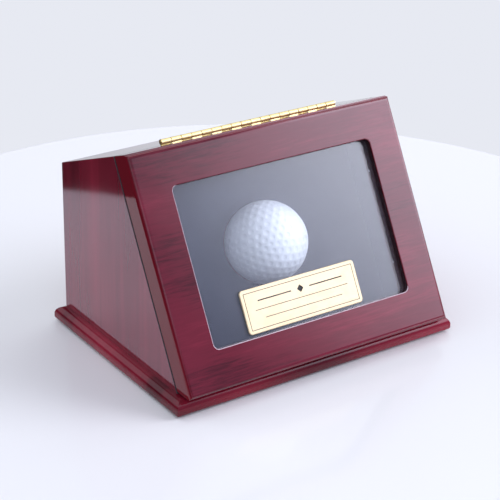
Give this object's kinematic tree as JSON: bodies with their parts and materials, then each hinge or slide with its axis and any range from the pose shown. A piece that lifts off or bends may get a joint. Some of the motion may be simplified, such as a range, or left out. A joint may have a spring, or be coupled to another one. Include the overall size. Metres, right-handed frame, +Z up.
{
  "type": "golf ball display case",
  "caption": "Wedge-shaped lacquered wooden case with a leaning glazed door on a brass piano hinge, a velvet board holding a golf ball, and a name plate on the glass.",
  "frame": {"origin": "centre of the felt under the base, on the surface that the case stands on", "axes": "+X along the width, to the right as one looks at the glazed door; +Y from the door to the back; +Z up"},
  "size_m": [0.1676, 0.1237, 0.1139],
  "materials": {
    "rosewood_lacquer": "dark red rosewood under high-gloss lacquer",
    "plain_wood": "dark stained, matt",
    "brass": "bright polished",
    "plate_brass": "satin, pale gold",
    "zinc_steel": "zinc plated",
    "clear_glass": "clear, polished",
    "black_velvet": "short pile velvet",
    "black_felt": "pressed felt",
    "tape": "double-sided tape",
    "ball_cover": "white gloss paint"
  },
  "bodies": {
    "case": {"base_board": "rosewood_lacquer", "base_felt": "black_felt", "base_screws": "zinc_steel", "left_side_panel": "rosewood_lacquer", "right_side_panel": "rosewood_lacquer", "back_panel": "rosewood_lacquer", "top_panel": "rosewood_lacquer", "front_rail": "rosewood_lacquer", "left_cleat": "plain_wood", "right_cleat": "plain_wood", "display_board": "plain_wood", "display_velvet": "black_velvet", "left_lining": "black_velvet", "right_lining": "black_velvet", "top_lining": "black_velvet", "floor_lining": "black_velvet", "door_bumpers": "black_felt", "hinge_case_leaf": "brass", "hinge_case_screws": "brass", "hinge_pin": "brass"},
    "door": {"door_frame": "rosewood_lacquer", "window_glass": "clear_glass", "glass_bead_top": "plain_wood", "glass_bead_bottom": "plain_wood", "glass_bead_left": "plain_wood", "glass_bead_right": "plain_wood", "bead_pins": "zinc_steel", "name_plate": "plate_brass", "plate_tape": "tape", "hinge_door_leaf": "brass", "hinge_door_screws": "brass"},
    "ball": {"golf_ball": "ball_cover"}
  },
  "joints": [
    {"name": "door_hinge", "type": "hinge", "parent": "case", "child": "door", "pos_m": [0, 0.00555, 0.11169], "axis": [-1, 0, 0], "range_deg": [0, 195.5]},
    {"name": "ball_turn", "type": "hinge", "parent": "case", "child": "ball", "pos_m": [0, -0.01044, 0.05213], "axis": [0, -0.8746, 0.4848], "continuous": true}
  ]
}
